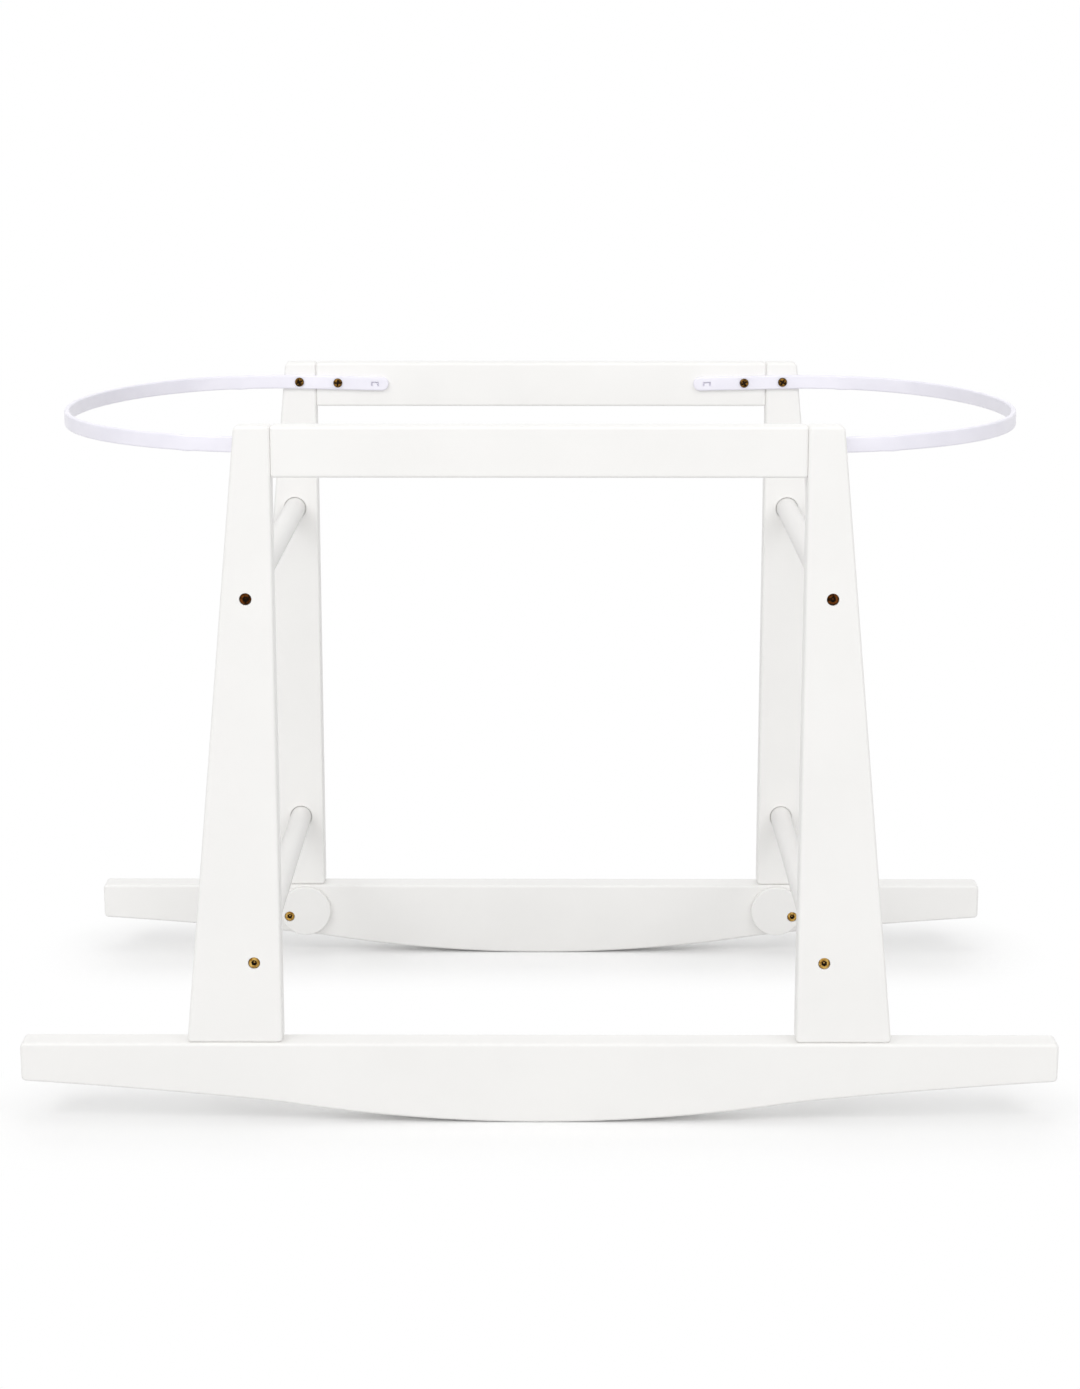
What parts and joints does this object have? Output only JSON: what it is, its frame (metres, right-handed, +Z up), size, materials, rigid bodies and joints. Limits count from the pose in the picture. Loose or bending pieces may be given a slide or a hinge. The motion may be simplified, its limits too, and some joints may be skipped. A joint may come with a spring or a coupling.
{
  "type": "moses basket stand",
  "caption": "Rocking stand for a moses basket: painted board frames on curved rockers, joined by round crossbars, with bent end hoops and off-centre discs that turn down as stops.",
  "frame": {"origin": "on the floor, midway between the rockers and under the middle of the stand", "axes": "+X to the right along the rockers, +Y from the front frame to the back frame, +Z up"},
  "size_m": [0.776, 0.426, 0.525],
  "materials": {
    "white_paint": "satin warm white paint",
    "hoop_plastic": "smooth moulded",
    "bronze_plating": "dark bronze plating",
    "brass_plating": "satin",
    "antique_brass": "antique",
    "zinc": "zinc plated",
    "bare_beech": "bare"
  },
  "bodies": {
    "stand": {"front_rocker": "white_paint", "back_rocker": "white_paint", "front_left_leg": "white_paint", "front_right_leg": "white_paint", "back_left_leg": "white_paint", "back_right_leg": "white_paint", "front_rail": "white_paint", "back_rail": "white_paint", "upper_left_crossbar": "white_paint", "upper_right_crossbar": "white_paint", "lower_left_crossbar": "white_paint", "lower_right_crossbar": "white_paint", "left_hoop": "hoop_plastic", "right_hoop": "hoop_plastic", "upper_bolts": "bronze_plating", "lower_bolts": "brass_plating", "crossbar_inserts": "zinc", "stop_screws": "brass_plating", "stop_inserts": "zinc", "front_hoop_screws": "antique_brass", "back_hoop_screws": "antique_brass", "rail_pins": "bare_beech", "leg_pins": "bare_beech"},
    "front_left_stop": {"front_left_stop": "white_paint"},
    "front_right_stop": {"front_right_stop": "white_paint"},
    "back_left_stop": {"back_left_stop": "white_paint"},
    "back_right_stop": {"back_right_stop": "white_paint"}
  },
  "joints": [
    {"name": "front_left_stop_turn", "type": "hinge", "parent": "stand", "child": "front_left_stop", "pos_m": [-0.2227, -0.1877, 0.0354], "axis": [0, 1, 0], "range_deg": [-220, 80]},
    {"name": "front_right_stop_turn", "type": "hinge", "parent": "stand", "child": "front_right_stop", "pos_m": [0.2227, -0.1877, 0.0354], "axis": [0, -1, 0], "range_deg": [-220, 80]},
    {"name": "back_left_stop_turn", "type": "hinge", "parent": "stand", "child": "back_left_stop", "pos_m": [-0.2227, 0.1877, 0.0354], "axis": [0, 1, 0], "range_deg": [-220, 80]},
    {"name": "back_right_stop_turn", "type": "hinge", "parent": "stand", "child": "back_right_stop", "pos_m": [0.2227, 0.1877, 0.0354], "axis": [0, -1, 0], "range_deg": [-220, 80]}
  ]
}
